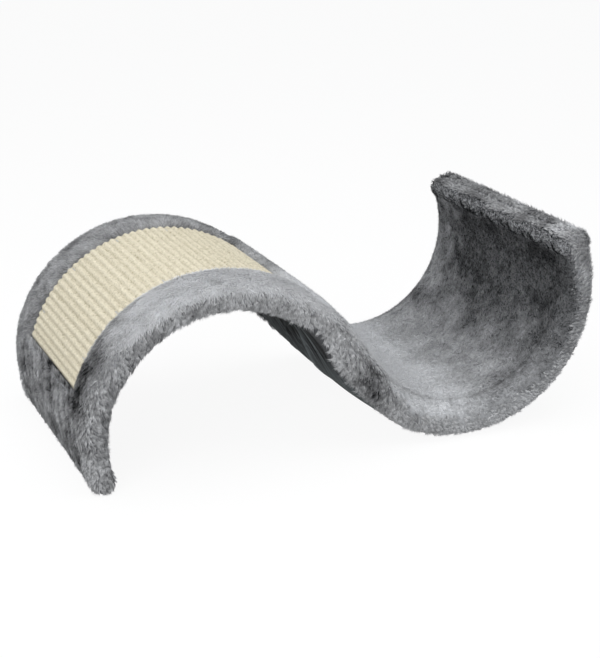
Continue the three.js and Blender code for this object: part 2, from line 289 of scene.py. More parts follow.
def rib_shape(kind):
    """One rib in its own frame, X along the wave and Z up. Its long sides are open, to be welded."""
    chance = np.random.default_rng(40 + kind)
    across = np.linspace(-mat_half, mat_half, rows_across)
    turn = np.linspace(-1, 1, rib_points + 1)
    phase = kind * math.pi / 2
    wander_at = np.linspace(-mat_half, mat_half, wander_points)
    wander = np.interp(across, wander_at, chance.normal(0, rib_wander, wander_points))
    stitch = 2 * math.pi * across[:, None] / stitch_length + phase + stitch_slant * turn
    rough = chance.normal(0, rib_roughness, (rows_across, rib_points + 1))
    crown = np.cos(0.5 * math.pi * turn) ** rib_crown
    rounding = quarter_round(mat_half - np.abs(across), rib_end)[:, None]
    lift = rib_height + wander[:, None] + 0.5 * stitch_depth * np.sin(stitch) + rough
    height = groove_height + crown * lift * rounding - (1 - rounding) * rib_end_dip
    top = rib_place(turn, height, across[:, None])
    base = rib_place(np.array([1.0, -1.0]), cover_base, across[:, None])
    points = np.concatenate([top, base], axis=1)
    width = points.shape[1]
    faces = [face for face in grid_faces(rows_across, width) if face[0] % width != rib_points]
    last = (rows_across - 1) * width
    faces.append(tuple(range(width))[::-1])
    faces.append(tuple(range(last, last + width)))
    rib = mesh_of(f"rib_shape_{kind}", points, faces)
    keep_values(rib, "ridge", np.tile(np.append(crown, [0.0, 0.0]), (rows_across, 1)))
    return rib


def mat_walls():
    """The two long edges of the mat, from its backing up to its first and last groove."""
    across = np.linspace(-mat_half, mat_half, rows_across)
    rounding = quarter_round(mat_half - np.abs(across), rib_end)
    top = groove_height - (1 - rounding) * rib_end_dip
    low = np.full(rows_across, cover_base)
    points = []
    faces = []
    for s, heights in ((mat_start, (top, low)), (mat_end, (low, top))):
        first = len(points) * 2 * rows_across
        points.append(np.stack([on_wave(s, n, across) for n in heights]))
        faces += [tuple(first + k for k in face) for face in grid_faces(2, rows_across)]
    return mesh_of("mat_walls", np.concatenate(points), faces)


def geometry_tree(name, sockets):
    """A Geometry Nodes tree, and its named inputs as fields."""
    tree = bpy.data.node_groups.new(name, "GeometryNodeTree")
    tree.interface.new_socket("Geometry", in_out="OUTPUT", socket_type="NodeSocketGeometry")
    for socket, kind in sockets.items():
        tree.interface.new_socket(socket, in_out="INPUT", socket_type="NodeSocket" + kind)
    entry = tree.nodes.new("NodeGroupInput")
    return tree, {socket: Field(tree, entry.outputs[socket]) for socket in sockets}


def close_tree(geometry, material):
    """Real geometry with its material, as the tree's result."""
    real = geometry.node("GeometryNodeRealizeInstances", None, {0: geometry})
    done = real.node("GeometryNodeSetMaterial", None, {"Geometry": real, "Material": material})
    out = real.tree.nodes.new("NodeGroupOutput")
    real.tree.links.new(done.socket, out.inputs[0])


def made_by(tree, name, carrier, values):
    """A plain mesh object: the tree's result on the carrier, with its named inputs set."""
    modifier = carrier.modifiers.new(name, "NODES")
    modifier.node_group = tree
    for item in tree.interface.items_tree:
        if item.in_out == "INPUT" and item.name in values:
            modifier[item.identifier] = values[item.name]
    seen = carrier.evaluated_get(bpy.context.evaluated_depsgraph_get())
    mesh = bpy.data.meshes.new_from_object(seen)
    mesh.name = name
    made = in_scene(name, mesh)
    bpy.data.objects.remove(carrier)
    return made


def shapes_of(name, makers):
    """A collection of shapes that a tree picks from, outside the scene."""
    shapes = bpy.data.collections.new(name)
    for made in makers:
        bpy.context.scene.collection.objects.unlink(made)
        shapes.objects.link(made)
    return shapes


def drop_shapes(shapes):
    for made in list(shapes.objects):
        bpy.data.objects.remove(made)
    bpy.data.collections.remove(shapes)


def stored_on(geometry, name, value, kind="FLOAT", domain="POINT"):
    """The geometry with a value stored on it under a name."""
    settings = {"data_type": kind, "domain": domain}
    inputs = {"Geometry": geometry, "Name": name, "Value": value}
    return geometry.node("GeometryNodeStoreNamedAttribute", settings, inputs)


def random_field(field, low, high, seed):
    settings = {"data_type": "FLOAT"}
    return field.node("FunctionNodeRandomValue", settings, {2: low, 3: high, "Seed": seed}, 1)


def set_on(points, turn, shapes, count, seed, size=(1, 1, 1)):
    """Real copies of a collection's shapes on points, one picked by chance for each."""
    settings = {"data_type": "INT"}
    index = points.node("FunctionNodeRandomValue", settings, {4: 0, 5: count - 1, "Seed": seed}, 2)
    inputs = {"Collection": shapes, "Separate Children": True, "Reset Children": False}
    info = points.node("GeometryNodeCollectionInfo", None, inputs)
    inputs = {"Points": points, "Instance": info, "Pick Instance": True, "Instance Index": index}
    inputs.update({"Rotation": turn, "Scale": size})
    copies = points.node("GeometryNodeInstanceOnPoints", None, inputs)
    return points.node("GeometryNodeRealizeInstances", None, {0: copies})


def mat_tree():
    sockets = {"Walls": "Geometry", "Ribs": "Int", "Seed": "Int"}
    sockets.update({"Rib Shapes": "Collection", "Finish": "Material"})
    for name in ("Rib Angle", "First Angle", "Arch Radius", "Arch X", "Arch Z"):
        sockets[name] = "Float"
    tree, given = geometry_tree("sisal mat", sockets)
    start = Field(tree)
    points = start.node("GeometryNodePoints", None, {"Count": given["Ribs"]})
    index = start.node("GeometryNodeInputIndex")
    angle = given["First Angle"] - (index + 0.5) * given["Rib Angle"]
    reach_x = given["Arch X"] + given["Arch Radius"] * start.math("COSINE", angle)
    reach_z = given["Arch Z"] + given["Arch Radius"] * start.math("SINE", angle)
    place = start.node("ShaderNodeCombineXYZ", None, {0: reach_x, 2: reach_z})
    points = start.node("GeometryNodeSetPosition", None, {"Geometry": points, "Position": place})
    points = stored_on(points, "rib_shade", random_field(start, 0.0, 1.0, given["Seed"]))
    tilt = start.node("ShaderNodeCombineXYZ", None, {1: math.pi / 2 - angle})
    turn = start.node("FunctionNodeEulerToRotation", None, {0: tilt})
    ribs = set_on(points, turn, given["Rib Shapes"], rib_kinds, given["Seed"] + 1)
    join = tree.nodes.new("GeometryNodeJoinGeometry")
    tree.links.new(ribs.socket, join.inputs[0])
    tree.links.new(given["Walls"].socket, join.inputs[0])
    inputs = {"Geometry": Field(tree, join.outputs[0]), "Distance": weld}
    close_tree(start.node("GeometryNodeMergeByDistance", None, inputs), given["Finish"])
    return tree


def sisal_colour(place):
    """Straw-coloured fibres along the ribs, with painted shade: darker in the grooves than on the
    ridges, and dark pits between stitches.
    """
    ridge = place.kept("ridge")
    fibres = place.grain(900, 3, (1, 0.16, 1))
    flecks = place.grain(420, 3)
    # painted shade in the pits between stitches, weaker on the ridges
    pits = ((place.grain(560, 1, (1, 0.7, 1)) - 0.57) * 8.0).clamped()
    # painted shade: the grooves darker than the ridges
    tone = 0.2 * ridge + 0.5 * fibres + 0.9 * flecks + 0.12 * place.kept("rib_shade") - 0.3
    tone = (tone - 0.5 * pits * (1 - 0.4 * ridge)).clamped()
    return tone.mix(straw_dark, straw_pale)


sisal = finish_of(
    "sisal",
    sisal_colour,
    0.9,
    bump_of=lambda place: place.grain(1500, 3, (1, 0.2, 1)) + 0.5 * place.grain(700, 2),
    bump_height=0.0004,
    Specular_IOR_Level=0.2,
)
rib_shapes = shapes_of("rib shapes", [rib_shape(kind) for kind in range(rib_kinds)])
mat_sizes = {
    "Ribs": rib_count,
    "Rib Angle": rib_angle,
    "First Angle": arch_start - mat_start / arch_radius,
    "Arch Radius": arch_radius,
    "Arch X": arch_x,
    "Arch Z": arch_z,
    "Rib Shapes": rib_shapes,
    "Finish": sisal,
    "Seed": 11,
}
mat = made_by(mat_tree(), "ribbed_mat", mat_walls(), mat_sizes)
drop_shapes(rib_shapes)
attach(mat, "root")
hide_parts("sisal_mat")

# Staples
# Ten wire staples with flat crowns hold the mat's edges to the board, sunk in the grooves between
# ribs. They are galvanised steel, and stay as their CAD nodes.
zinc_dark = srgb(150, 152, 154)
zinc_pale = srgb(205, 206, 208)
galvanised = finish_of(
    "galvanised wire",
    lambda place: place.grain(2500, 2).mix(zinc_dark, zinc_pale),
    lambda place: place.grain(1800) * 0.3 + 0.25,
    Metallic=1.0,
)
for name, node in frame["nodes"].items():
    if name.startswith("sisal_staple"):
        refinish(node, galvanised)

# Leg panel
# Plush on the outside of the leg below the mat, cut as one strip and glued on. It hangs in uneven
# folds that slant towards the near side. A knitted backing carries the pile, grown tuft by tuft.
edge_band_width = 0.024
foot_band_height = 0.022
rim_band_depth = 0.004
leg_edge = 0.0115  # heights of the bands from the board's middle, thin beside the leg
mat_start_edge_above = 0.0134
crown_edge_above = 0.0128
mat_end_edge_above = 0.0146
slope_edge_above = 0.0190
slope_edge_below = 0.0182
crease_edge_below = 0.0122  # pinched where the slope runs into the cradle
rim_edge_above = 0.0182
leg_tuck = 0.001
panel_crown = 0.0008
band_inner = half_width - edge_band_width
panel_edge = band_inner - seam_gap
rim_start = wave_length - rim_band_depth
arch_crown = arch_radius * (arch_start - math.pi / 2)
slope_middle = (slope_at + cradle_at) / 2
cradle_bottom = cradle_at + cradle_radius * (math.pi / 2 - slope_tilt)
row_step = 0.003
lip_rows = 8
glue_gap = 0.0001
cloth_weld = 0.00002
pile_clearance = 0.0002  # of the lowest strands from the floor
plain_tone = 0.45  # tones run from 0, dark, to 1, pale
backing_dark = srgb(40, 41, 43)
backing_pale = srgb(215, 217, 220)
# painted shade deep in the pile, at its roots
root_shade = srgb(16, 16, 18)
nap_dark = srgb(20, 21, 23)
nap_pale = srgb(252, 253, 255)


def smooth_between(value, low, high):
    share = np.clip((value - low) / (high - low), 0, 1)
    return share * share * (3 - 2 * share)


def profile(places):
    """A smooth run through (s, height) places along the wave, as a function of s."""

    def height(s):
        value = places[0][1]
        for (start, low), (end, high) in zip(places[:-1], places[1:]):
            value = value + (high - low) * smooth_between(s, start, end)
        return value

    return height


edge_above = profile([
    (foot_band_height, leg_edge),
    (mat_start, mat_start_edge_above),
    (arch_crown, crown_edge_above),
    (mat_end, mat_end_edge_above),
    (slope_at, slope_edge_above),
    (rim_start, rim_edge_above),
])
edge_below = profile([
    (mat_start, leg_edge),
    (2 * mat_start, cover_top),
    (slope_at, cover_top),
    (slope_middle, slope_edge_below),
    (cradle_at + 0.25 * (cradle_bottom - cradle_at), crease_edge_below),
    (cradle_at + 0.6 * (cradle_bottom - cradle_at), cover_top),
])


def backing_colour(place):
    """The knitted backing is dyed with the pile, so it is as dark or pale as the pile above it,
    painted light and shade included.
    """
    knit = place.grain(500, 3) * 0.3 + 0.85
    return (place.kept("tone") * knit).clamped().mix(backing_dark, backing_pale)


backing = finish_of(
    "plush backing",
    backing_colour,
    0.95,
    bump_of=lambda place: place.grain(900, 2),
    bump_height=0.0004,
    Specular_IOR_Level=0.1,
)


def plush_colour(place):
    """The pile's own map runs from dark to pale nap in u, and from painted shade at the root to the
    tip in v.
    """
    map_place = place.node("ShaderNodeUVMap", {"uv_map": "OFBake"})
    nap = map_place.part("x").mix(nap_dark, nap_pale)
    return (map_place.part("y") * 0.75 + 0.25).mix(root_shade, nap)


pile_finish = finish_of(
    "plush pile",
    plush_colour,
    0.92,
    Specular_IOR_Level=0.1,
    Sheen_Weight=0.02,
    Sheen_Roughness=0.5,
)
tuft_kinds = 5
strand_sides = 3
side_shade = 0.012  # how a strand's sides differ in tone, and a tuft's strands
strand_shade = 0.09
strand_gap = 0.07  # in shares of a tuft's length
strand_fan = 0.11
fan_lean = 5  # degrees that the outer strands of a tuft stand up more, and one tuft than the next
kind_lean = 6


def tuft_shape(name, strands, girth, bent):
    """A tuft of pile, one unit long and leaning towards +X. Its strands have three sides and a tip."""
    stations = (0.0, 0.5, 1.0) if bent else (0.0, 1.0)
    points = []
    shares = []
    shades = []
    faces = []
    for number, (foot, lean_root, lean_tip, sway) in enumerate(strands):
        first = len(points)
        reach = np.array([0.0, foot, 0.0])
        last = 0.0
        for along in stations:
            lean = lean_root + (lean_tip - lean_root) * (along + last) / 2
            reach = reach + (along - last) * np.array([math.sin(lean), sway, math.cos(lean)])
            last = along
            across = np.array([math.cos(lean), 0.0, -math.sin(lean)])
            for k in range(strand_sides if along < 1 else 1):
                turn = 2 * math.pi * k / strand_sides
                side = math.cos(turn) * across + np.array([0.0, math.sin(turn), 0.0])
                points.append(reach + girth * (1 - along ** 3) * side)
                shares.append(along)
                shades.append(side_shade * (k - 1) * (along < 1) + strand_shade * (number % 3 - 1))
        tip = len(points) - 1
        ring = tip - strand_sides
        walls = grid_faces(len(stations) - 1, strand_sides, True)
        faces += [tuple(first + k for k in face) for face in walls]
        faces += [(ring + k, ring + (k + 1) % strand_sides, tip) for k in range(strand_sides)]
        faces.append((first + 2, first + 1, first))
    made = mesh_of(name, points, faces)
    keep_values(made, "along", shares)
    keep_values(made, "shade", shades)
    return made


def tufts_of(name, root, tip, sway, girth, count=1, bent=True):
    """Tufts of count strands, fanned out. root and tip are the middle leans in degrees."""
    made = []
    for kind in range(tuft_kinds):
        offset = kind - tuft_kinds // 2
        strands = []
        for k in range(count):
            fan = k - (count - 1) / 2
            change = kind_lean * offset - fan_lean * abs(fan)
            leans = [math.radians(lean + change) for lean in (root, tip)]
            strands.append((strand_gap * fan, *leans, sway * offset + strand_fan * fan))
        made.append(tuft_shape(f"{name}_{kind}", strands, girth, bent))
    return shapes_of(name, made)


smooth_tufts = tufts_of("smooth tufts", 62, 84, 0.1, 0.065)
short_tufts = tufts_of("short tufts", 66, 66, 0.15, 0.1, bent=False)
soft_tufts = tufts_of("soft tufts", 46, 88, 0.2, 0.06, 3)
fluffy_tufts = tufts_of("fluffy tufts", 52, 92, 0.16, 0.05, 3)
nap_sizes = (
    "Length", "Spacing", "Length Spread", "Swirl", "Clump Scale", "Mottle", "Mottle Scale", "Speckle",
    "Root",
)
nap_looks = {  # the tufts of each, and its sizes in the order above
    "smooth": (smooth_tufts, 0.005, 0.0008, 0.2, 1.2, 100.0, 0.8, 75.0, 0.3, 0.6),
    "ruffled": (smooth_tufts, 0.0042, 0.0008, 0.25, 1.6, 180.0, 1.2, 150.0, 0.16, 0.6),
    "short": (short_tufts, 0.003, 0.00086, 0.25, 2.6, 260.0, 0.6, 200.0, 0.22, 0.85),
    "soft": (soft_tufts, 0.0048, 0.00125, 0.3, 2.6, 110.0, 0.9, 50.0, 0.12, 0.75),
    "fluffy": (fluffy_tufts, 0.0064, 0.00145, 0.3, 1.3, 75.0, 0.8, 80.0, 0.45, 0.3),
}
crowding = 2.2  # tufts tried in each square of the spacing
clump_swirl = 2.4
clump_tone = 0.5
map_share = 0.96  # keeps the map's places off its borders


def pile_tree():
    sockets = {"Skin": "Geometry", "Tufts": "Collection", "Finish": "Material", "Seed": "Int"}
    sockets.update({name: "Float" for name in nap_sizes})
    tree, given = geometry_tree("plush pile", sockets)
    start = Field(tree)

    def stored(name, kind="FLOAT"):
        return start.node("GeometryNodeInputNamedAttribute", {"data_type": kind}, {"Name": name})

    def noise_at(scale, detail):
        inputs = {"Vector": position, "Scale": scale, "Detail": detail}
        return start.node("ShaderNodeTexNoise", None, inputs) - 0.5

    spread = tree.nodes.new("GeometryNodeDistributePointsOnFaces")
    spread.distribute_method = "POISSON"
    links = {
        "Mesh": given["Skin"],
        "Distance Min": given["Spacing"],
        "Density Max": start.math("DIVIDE", crowding, given["Spacing"] * given["Spacing"]),
        "Density Factor": stored("thick"),
        "Seed": given["Seed"],
    }
    for socket, field in links.items():
        tree.links.new(field.socket, spread.inputs[socket])
    points = Field(tree, spread.outputs["Points"])
    normal = Field(tree, spread.outputs["Normal"])
    position = start.node("GeometryNodeInputPosition")
    clump = noise_at(given["Clump Scale"], 1.5)
    mottle = noise_at(given["Mottle Scale"], 3.0)
    swirl = clump * clump_swirl + random_field(start, -0.5, 0.5, given["Seed"] + 1)
    swirl = given["Swirl"] * swirl
    inputs = {"Vector": stored("nap", "FLOAT_VECTOR"), "Axis": normal, "Angle": swirl}
    nap = start.node("ShaderNodeVectorRotate", {"rotation_type": "AXIS_ANGLE"}, inputs)
    settings = {"primary_axis": "Z", "secondary_axis": "X"}
    inputs = {"Primary Axis": normal, "Secondary Axis": nap}
    turn = start.node("FunctionNodeAxesToRotation", settings, inputs)
    fleck = random_field(start, -0.5, 0.5, given["Seed"] + 2)
    tone = stored("tone") + given["Mottle"] * (mottle + clump * clump_tone)
    tone = tone + given["Speckle"] * fleck
    points = stored_on(points, "nap_tone", tone.clamped())
    jitter = random_field(start, -1.0, 1.0, given["Seed"] + 3)
    size = given["Length"] * (given["Length Spread"] * jitter + 1.0) * stored("lush")
    pile = set_on(points, turn, given["Tufts"], tuft_kinds, given["Seed"] + 4, size)
    map_u = (stored("nap_tone") * map_share + 0.01 + stored("shade")).clamped()
    # v starts at Root: the lower Root is, the more painted shade at the roots
    map_v = (stored("along") * (1 - given["Root"]) + given["Root"]) * map_share + 0.02
    map_place = start.node("ShaderNodeCombineXYZ", None, {0: map_u, 1: map_v})
    close_tree(stored_on(pile, "OFBake", map_place, "FLOAT2", "CORNER"), given["Finish"])
    return tree


pile_nodes = pile_tree()


def unit(vectors):
    return vectors / np.maximum(np.linalg.norm(vectors, axis=-1, keepdims=True), 1e-9)


def grow_pile(
    node, skin, look, nap, tone, parts=1, first=1, closed=False, flip=False, thick=1.0, lush=1.0
):
    """Pile on a skin of rows and columns of points. nap gives the lean along rows and columns."""
    rows, columns = skin.shape[:2]
    along_rows = unit(np.gradient(skin, axis=0))
    wrapped = np.concatenate([skin[:, -1:], skin, skin[:, :1]], axis=1) if closed else skin
    along_columns = np.gradient(wrapped, axis=1)
    along_columns = unit(along_columns[:, 1:-1] if closed else along_columns)
    down, out = (np.broadcast_to(value, (rows, columns))[..., None] for value in nap)
    lean = unit(down * along_rows + out * along_columns)
    tufts, *sizes = nap_looks[look]
    pieces = []
    edges = np.linspace(0, rows - 1, parts + 1).round().astype(int)
    for part, (top, bottom) in enumerate(zip(edges[:-1], edges[1:])):
        chosen = slice(top, bottom + 1)
        faces = grid_faces(bottom - top + 1, columns, closed)
        faces = [face[::-1] for face in faces] if flip else faces
        carrier = mesh_of("skin", skin[chosen], faces)
        attribute = carrier.data.attributes.new("nap", "FLOAT_VECTOR", "POINT")
        attribute.data.foreach_set("vector", lean[chosen].ravel())
        for name, values in (("tone", tone), ("thick", thick), ("lush", lush)):
            keep_values(carrier, name, np.broadcast_to(values, (rows, columns))[chosen])
        seed = 10 * len(bpy.data.objects)  # another one for each pile
        values = {**dict(zip(nap_sizes, sizes)), "Tufts": tufts, "Finish": pile_finish, "Seed": seed}
        pile = made_by(pile_nodes, f"{node}_pile_{part + first}", carrier, values)
        places = np.empty(3 * len(pile.data.vertices))
        pile.data.vertices.foreach_get("co", places)
        places[2::3] = np.maximum(places[2::3], pile_clearance)
        pile.data.vertices.foreach_set("co", places)
        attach(pile, "root")
        "short_plush" if node == "cradle_panel" else "plush"
        pieces.append(pile)
    return pieces


def closed_cloth(node, rings, material, tone=None, caps=True):
    """A closed cloth through rows of rings, which stands for its CAD node. tone covers its skin."""
    rows, columns = rings.shape[:2]
    faces = grid_faces(rows, columns, True)
    if caps:
        faces.append(tuple(range(columns)))
        faces.append(tuple(range((rows - 1) * columns, rows * columns)))
    cloth = mesh_of(f"{node}_cloth", rings, faces)
    cloth.data.materials.append(material)
    tones = np.full((rows, columns), plain_tone)
    if tone is not None:
        covered = tone.shape[1]
        share = np.linspace(0, 1, columns - covered)
        tones[:, :covered] = tone
        tones[:, covered:] = tone[:, -1:] + (tone[:, :1] - tone[:, -1:]) * share
    keep_values(cloth, "tone", tones)
    edit = bmesh.new()
    edit.from_mesh(cloth.data)
    bmesh.ops.remove_doubles(edit, verts=edit.verts, dist=cloth_weld)
    bmesh.ops.dissolve_degenerate(edit, edges=edit.edges, dist=cloth_weld / 2)
    if not caps:
        bmesh.ops.holes_fill(edit, edges=edit.edges, sides=0)
    bmesh.ops.recalc_face_normals(edit, faces=edit.faces)
    edit.to_mesh(cloth.data)
    edit.free()
    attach(cloth, "root")
    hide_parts(node)
    return cloth


def rows_between(start, end, lip=0.0):
    """Even rows along the wave, with closer ones where a lip rolls over at the start."""
    rows = np.linspace(start + lip, end, max(3, round((end - start - lip) / row_step) + 1))
    rolled = start + lip * np.linspace(0, 1, lip_rows + 1)[:-1] ** 2
    return np.concatenate([rolled, rows]) if lip else rows


def panel(start, end, inner, outer, height, side, columns=24, lip=0.0):
    """Rings of a panel from inner to outer across the width, and the skin on its outer face."""
    s = rows_between(start + seam_gap / 2, end - seam_gap / 2, lip)[:, None]
    y = np.linspace(inner, outer, columns)[None, :]
    level = cover_base + height(s, y) + 0 * s * y
    skin = on_wave(s, side * level, y)
    floor = on_wave(s, side * (cover_base + glue_gap), y[:, ::-1])
    return np.concatenate([skin, floor], axis=1), skin, s, y


def swell(y):
    return panel_crown * (1 - (y / panel_edge) ** 2)


def blots(s, y, places):
    """Changes of tone where the nap lies another way: (s, y, length, width, change) for each."""
    shapes = [
        change * np.exp(-((s - at) / length) ** 2 - ((y - across) / width) ** 2)
        for at, across, length, width, change in places
    ]
    return sum(shapes)


def patches(s, y, size, seed):
    """Soft patches of one size, from -1 to 1, where hands have stroked the nap."""
    cells = 64
    levels = np.random.default_rng(seed).uniform(-1, 1, (cells, cells))
    u, v = np.broadcast_arrays(s / size + cells / 2, y / size + cells / 2)
    row = np.floor(u).astype(int)
    column = np.floor(v).astype(int)
    up = smooth_between(v - column, 0, 1)
    near, far = (
        levels[at % cells, column % cells] * (1 - up) + levels[at % cells, (column + 1) % cells] * up
        for at in (row, row + 1)
    )
    right = smooth_between(u - row, 0, 1)
    return near * (1 - right) + far * right


leg_rise = 0.0015
leg_columns = 110
fold_start = -0.118
fold_end = 0.14
fold_step = 0.0205
fold_shift = 0.006  # how far each lies off its even place
fold_least = 0.0008  # depths
fold_most = 0.0026
fold_slant = -0.35
fold_width = 0.0035
# painted shade in the folds of the leg:
fold_shade = 190  # darker by this for each metre of depth
chance = np.random.default_rng(7)
fold_places = np.arange(fold_start, fold_end, fold_step)
fold_places = fold_places + chance.uniform(-fold_shift, fold_shift, len(fold_places))
fold_depths = chance.uniform(fold_least, fold_most, len(fold_places))
dark_corner = [  # the mat's lower near corner
    (0.060, -0.108, 0.018, 0.020, -0.42),
    (0.086, -0.106, 0.018, 0.018, -0.42),
    (0.106, -0.114, 0.013, 0.018, -0.32),
    (0.132, -0.100, 0.010, 0.009, -0.38),
    (0.155, -0.097, 0.008, 0.006, -0.25),
    (0.083, -0.124, 0.006, 0.008, 0.15),
]
stroked_leg = [
    (0.033, 0.100, 0.006, 0.018, -0.25),
    (0.047, -0.018, 0.006, 0.012, -0.25),
    (0.009, 0.020, 0.007, 0.030, -0.2),
    (0.016, -0.090, 0.014, 0.012, -0.2),
    (0.028, -0.112, 0.014, 0.010, 0.25),
    (0.022, 0.015, 0.006, 0.020, 0.2),
    (0.012, 0.100, 0.010, 0.030, 0.2),
]


def leg_folds(s, y):
    creases = [
        depth * np.exp(-((y - place - fold_slant * (mat_start - s)) / fold_width) ** 2)
        for place, depth in zip(fold_places, fold_depths)
    ]
    return sum(creases)


def leg_height(s, y):
    level = edge_above(s) - cover_base - leg_tuck - leg_rise
    return level + fold_least + swell(y) - leg_folds(s, y)


rings, skin, s, y = panel(
    foot_band_height, mat_start, -panel_edge, panel_edge, leg_height, 1, leg_columns
)
at_mat = smooth_between(s, mat_start - 0.008, mat_start - 0.002)
# painted shade: the leg is darker in its folds, by their depth
leg_tone = plain_tone - fold_shade * (leg_folds(s, y) - fold_least)
leg_tone = leg_tone + blots(s, y, dark_corner + stroked_leg)
leg_tone = leg_tone + 0.1 * patches(s, y + 0.4 * s, 0.009, 1) + 0.12 * patches(s, y, 0.02, 2)
# painted shade under the mat's edge
leg_tone = leg_tone - 0.12 * at_mat
leg_cloth = closed_cloth("leg_panel", rings, backing, leg_tone)
leg_nap = (2 * at_mat - 1.0, 0.3)  # the pile hangs, but stands up over the end of the mat
leg_pile = grow_pile("leg_panel", skin, "ruffled", leg_nap, leg_tone, flip=True)

# Arch borders
# Two plush strips beside the mat, padded so that they swell above it and roll over its cut edge.
# The nap is brushed along the arch and outwards, and shows paler and darker strokes.
# The crown is painted paler as light from above, and the crease beside the mat darker as painted
# shade.
mat_top = 0.006
border_crown = 0.0014
border_lip = 0.009
border_rise = 0.0015
border_darkest = 0.16
# painted shade in the crease beside the mat:
crease_shade = 0.12  # beside the mat, and how far it reaches
crease_reach = 0.003
border_inner = mat_half + seam_gap


def border_height(s, y):
    from_mat = np.abs(y) - border_inner
    across = from_mat / (panel_edge - border_inner)
    crowned = edge_above(s) - cover_base + border_crown * np.sin(math.pi * across) - border_rise
    return 0.5 * mat_top + (crowned - 0.5 * mat_top) * quarter_round(from_mat, border_lip)


def downhill(s):
    """The way the nap lies along the arch, down from its crown."""
    return np.clip((s - arch_crown) / 0.1, -0.9, 0.9)


def border_tone(s, y):
    """Painted light: pale on the near border's crown, lit from above, darker beside the leg; more even
    on the far one.
    """
    crown = smooth_between(s, 0.08, 0.17)
    # painted light: paler towards the crown
    near = 0.66 + 0.38 * crown + blots(s, y, dark_corner)
    far = 0.5 + 0.12 * crown - 0.1 * smooth_between(s, 0.24, 0.28)
    stroked = 0.1 * patches(s, y, 0.008, 3) + 0.1 * patches(s, y, 0.018, 4)
    return np.maximum(np.where(y < 0, near, far) + stroked, border_darkest)


for node, side in (("arch_border_near", -1), ("arch_border_far", 1)):
    inner = side * border_inner
    rings, skin, s, y = panel(mat_start, mat_end, inner, side * panel_edge, border_height, 1)
    crease = np.exp(-((np.abs(y) - border_inner) / crease_reach) ** 2)
    # painted shade in the crease beside the mat
    tone = border_tone(s, y) - crease_shade * crease
    cloth = closed_cloth(node, rings, backing, tone)
    pile = grow_pile(node, skin, "smooth", (downhill(s), 0.6), tone, flip=side > 0)
    size = (panel_edge - border_inner, mat_end - mat_start)

# Cradle panel
# One long panel from the end of the mat over the slope and through the cradle, where the nap is
# short. Its floor is painted pale as light, and its upper wall dark as painted shade.
cradle_tuck = 0.0003
cradle_rise = 0.0013
cradle_lip = 0.006  # its rolled edge at the mat
cradle_columns = 60
cradle_nap = (0.7, -0.5)
# painted light on the floor and painted shade up the wall, along the wave
cradle_light_and_shade = profile([(0.475, 1.2), (0.56, 0.53), (0.61, 0.3), (0.66, 0.14), (0.72, 0.1)])


def cradle_height(s, y):
    thinning = smooth_between(s, slope_at, cradle_at)
    nap = slope_edge_above + (edge_above(s) - cradle_tuck - slope_edge_above) * thinning
    full = nap - cover_base - cradle_rise + swell(y)
    return 0.5 * mat_top + (full - 0.5 * mat_top) * quarter_round(s - mat_end, cradle_lip)


def cradle_tone(s, y):
    """Painted light and shade: pale on the slope and floor, darker up the wall and less so at its far
    side.
    """
    # painted shade towards the near side, past the mat and on the far slope; paler on the wall's far
    # side
    near = 0.14 * smooth_between(-y, 0.03, 0.09) + 0.16 * smooth_between(-y, 0.112, 0.128)
    near = near * (1 - smooth_between(s, 0.57, 0.62))
    far = 0.17 + 0.16 * patches(s, y, 0.011, 13)
    far = far * smooth_between(y, 0.06, 0.1) * smooth_between(s, 0.58, 0.63)
    past_mat = 0.62 * smooth_between(y, -0.09, 0.03) * (1 - smooth_between(s, 0.306, 0.35))
    far_slope = 0.75 * smooth_between(y, 0.03, 0.115) * (1 - smooth_between(s, 0.36, 0.47))
    worn = 0.07 * patches(s, y, 0.006, 5) + 0.07 * patches(s, y, 0.013, 10)
    worn = (worn + 0.1 * patches(s, y, 0.03, 6)) * (1 - 0.5 * smooth_between(s, 0.6, 0.7))
    return cradle_light_and_shade(s) * (1 - near) - np.maximum(past_mat, far_slope) + far + worn


rings, skin, s, y = panel(
    mat_end, rim_start, -panel_edge, panel_edge, cradle_height, 1, cradle_columns, cradle_lip
)
tone = cradle_tone(s, y)
cradle_cloth = closed_cloth("cradle_panel", rings, backing, tone)
cradle_pile = grow_pile("cradle_panel", skin, "short", cradle_nap, tone, 4, flip=True)
cradle_size = (2 * panel_edge, rim_start - mat_end)

# Edge bands
# A strip of longer plush is folded round each long edge of the board and sewn to the panels. It is
# brushed smooth on top and worn short in the cradle, and on the edge itself the pile hangs down in
# curly tufts.
edge_roundness = 2.8
smooth_rise = 0.0015
fluffy_rise = 0.0023
band_points = 22
blend = 0.03  # of the slope's nap into the cradle's
wall_darkest = 0.12
# painted shade on the backing under the tufts, as a share of their tone:
tuft_gap_shade = 0.6  # the backing under the tufts, beside the tufts' own tone
# the tucked part is darker, partly as the lining's own colour and partly as painted shade
tuck_shade = 0.75
combed_places = [0.06, 0.10, 0.15, 0.27, 0.34, 0.39, 0.44, 0.66, 0.72]
combed_angles = np.radians([80, 35, 10, 10, 35, 50, 8, 8, 30])
combed_far = math.radians(25)  # the far one is brushed smooth all along
comb_line = 0.35  # half the width of the line between brushed and fluffy pile
# there the band is partly in the lining's dark colour and partly in painted shade
tucked_places = [0.24, 0.285, 0.314, 0.35, 0.386, 0.43]  # the lining is drawn up over the slope's edge
tucked_angles = np.radians([-95, -60, -15, -45, -50, -95])
# painted shade in the crease where the slope runs into the cradle
painted_crease_shade = [(0.388, 0.2, 0.022, 0.9, -0.5), (0.412, -0.5, 0.014, 0.5, -0.35)]  # s and angle


def power(value, exponent):
    return np.sign(value) * np.abs(value) ** exponent


